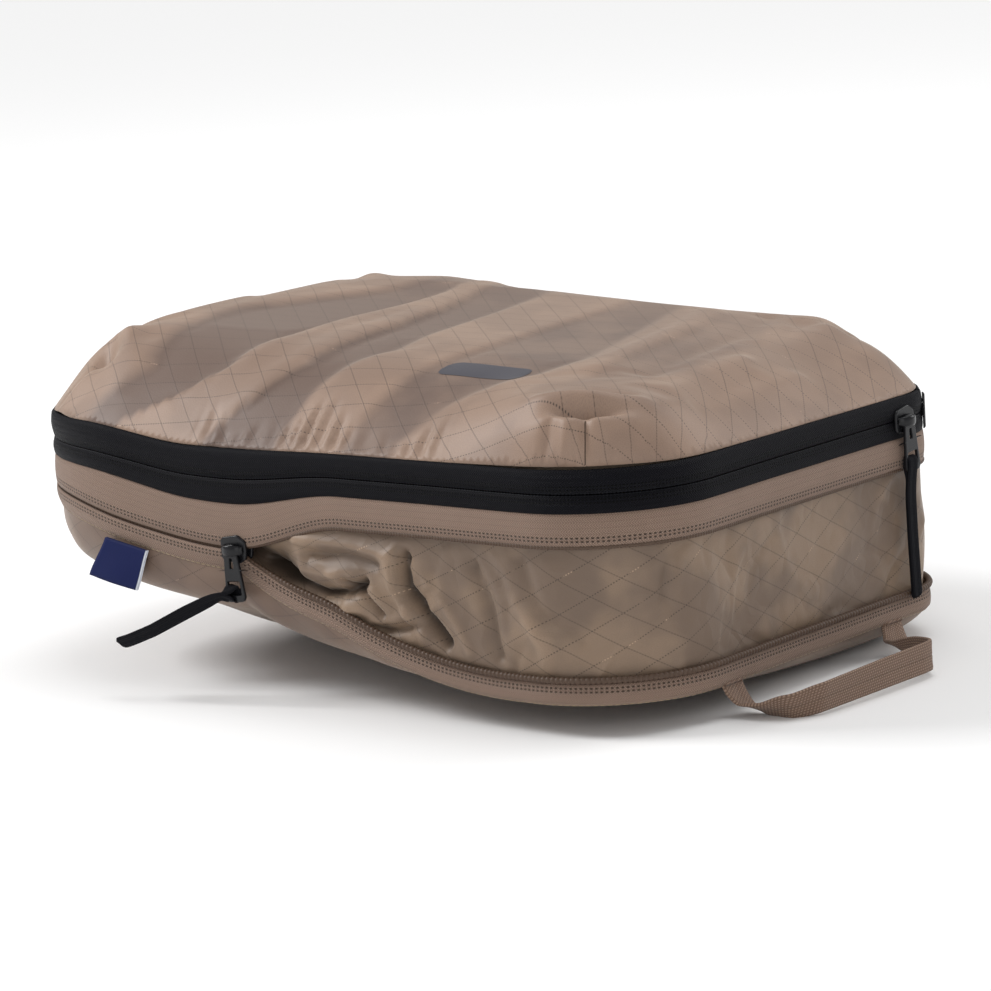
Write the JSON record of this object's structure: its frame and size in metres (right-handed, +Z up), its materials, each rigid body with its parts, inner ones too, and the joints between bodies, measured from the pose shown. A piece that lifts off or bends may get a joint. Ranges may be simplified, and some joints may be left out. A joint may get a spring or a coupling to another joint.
{
  "type": "compression packing cube",
  "caption": "Soft rounded packing cube with a domed zip lid, an expanding gusset closed by a compression zip, a carry handle and a folded side label.",
  "frame": {"origin": "on the resting plane, under the middle of the bag's rounded outline", "axes": "+X along the long side towards the handle, -Y towards the long front side with the compression slider, +Y towards the lid's hinge, +Z up"},
  "size_m": [0.3984, 0.2994, 0.1483],
  "materials": {
    "shell_cloth": "semi-sheer ripstop with a faint sheen",
    "brown_tape": "woven zip tape",
    "black_tape": "herringbone zip tape",
    "brown_coil": "nylon coil",
    "black_coil": "nylon coil",
    "binding_tape": "plain woven binding",
    "slider_metal": "dark gunmetal",
    "puller_webbing": "stitched narrow webbing",
    "handle_webbing": "ribbed webbing",
    "label_cloth": "woven label, blank",
    "mark_print": "plain printed patch"
  },
  "bodies": {
    "base": {"bottom_panel": "shell_cloth", "compression_lower_tape": "brown_tape", "compression_lower_coil": "brown_coil", "expansion_gusset": "shell_cloth", "base_seam_binding": "binding_tape", "handle_anchors": "handle_webbing"},
    "upper_frame": {"compression_upper_tape": "brown_tape", "compression_upper_coil": "brown_coil", "frame_seam_binding": "binding_tape", "main_lower_tape": "black_tape", "main_lower_coil": "black_coil", "rear_hinge_strip": "black_tape", "main_zip_stops": "slider_metal", "main_zip_end_tabs": "black_tape", "compression_zip_stop": "slider_metal"},
    "lid": {"lid_panel": "shell_cloth", "main_upper_tape": "black_tape", "main_upper_coil": "black_coil", "lid_seam_binding": "binding_tape", "lid_mark": "mark_print"},
    "main_slider": {"main_slider_body": "slider_metal", "main_slider_crown": "slider_metal"},
    "main_pull": {"main_pull_tab": "slider_metal"},
    "main_puller": {"main_puller_strap": "puller_webbing"},
    "compression_slider": {"compression_slider_body": "slider_metal", "compression_slider_crown": "slider_metal"},
    "compression_pull": {"compression_pull_tab": "slider_metal"},
    "compression_puller": {"compression_puller_strap": "puller_webbing"},
    "handle": {"carry_handle": "handle_webbing"},
    "label": {"side_label": "label_cloth"}
  },
  "joints": [
    {"name": "compress", "type": "slide", "parent": "base", "child": "upper_frame", "axis": [0, 0, 1], "range_m": [-0.05, 0], "deforming": ["expansion_gusset", "compression_lower_tape", "compression_lower_coil", "base_seam_binding", "bottom_panel"]},
    {"name": "lid_open", "type": "hinge", "parent": "upper_frame", "child": "lid", "pos_m": [0, 0.131, 0.1005], "axis": [-1, 0, 0], "range_deg": [0, 165], "deforming": ["rear_hinge_strip"]},
    {"name": "main_zip", "type": "slide", "parent": "upper_frame", "child": "main_slider", "axis": [0, -1, 0], "range_m": [0, 0.125]},
    {"name": "main_pull_swing", "type": "hinge", "parent": "main_slider", "child": "main_pull", "pos_m": [0.18265, 0.0675, 0.1009], "axis": [0, -1, 0], "range_deg": [0, 120]},
    {"name": "main_strap_swing", "type": "hinge", "parent": "main_pull", "child": "main_puller", "pos_m": [0.18265, 0.0675, 0.0799], "axis": [0, -1, 0], "range_deg": [0, 50]},
    {"name": "compression_zip", "type": "slide", "parent": "upper_frame", "child": "compression_slider", "axis": [0.9976, 0, 0.0689], "range_m": [0, 0.14]},
    {"name": "compression_pull_swing", "type": "hinge", "parent": "compression_slider", "child": "compression_pull", "pos_m": [-0.036, -0.13265, 0.0664], "axis": [-1, 0, 0], "range_deg": [0, 90]},
    {"name": "compression_strap_swing", "type": "hinge", "parent": "compression_pull", "child": "compression_puller", "pos_m": [-0.036, -0.13265, 0.0454], "axis": [-1, 0, 0], "range_deg": [0, 40]},
    {"name": "handle_swing", "type": "hinge", "parent": "base", "child": "handle", "pos_m": [0.189, -0.006, 0.008], "axis": [0, -1, 0], "range_deg": [0, 75]},
    {"name": "label_flap", "type": "hinge", "parent": "upper_frame", "child": "label", "pos_m": [-0.0998, -0.1302, 0.06406], "axis": [-0.9848, 0, 0.174], "range_deg": [0, 75]}
  ]
}
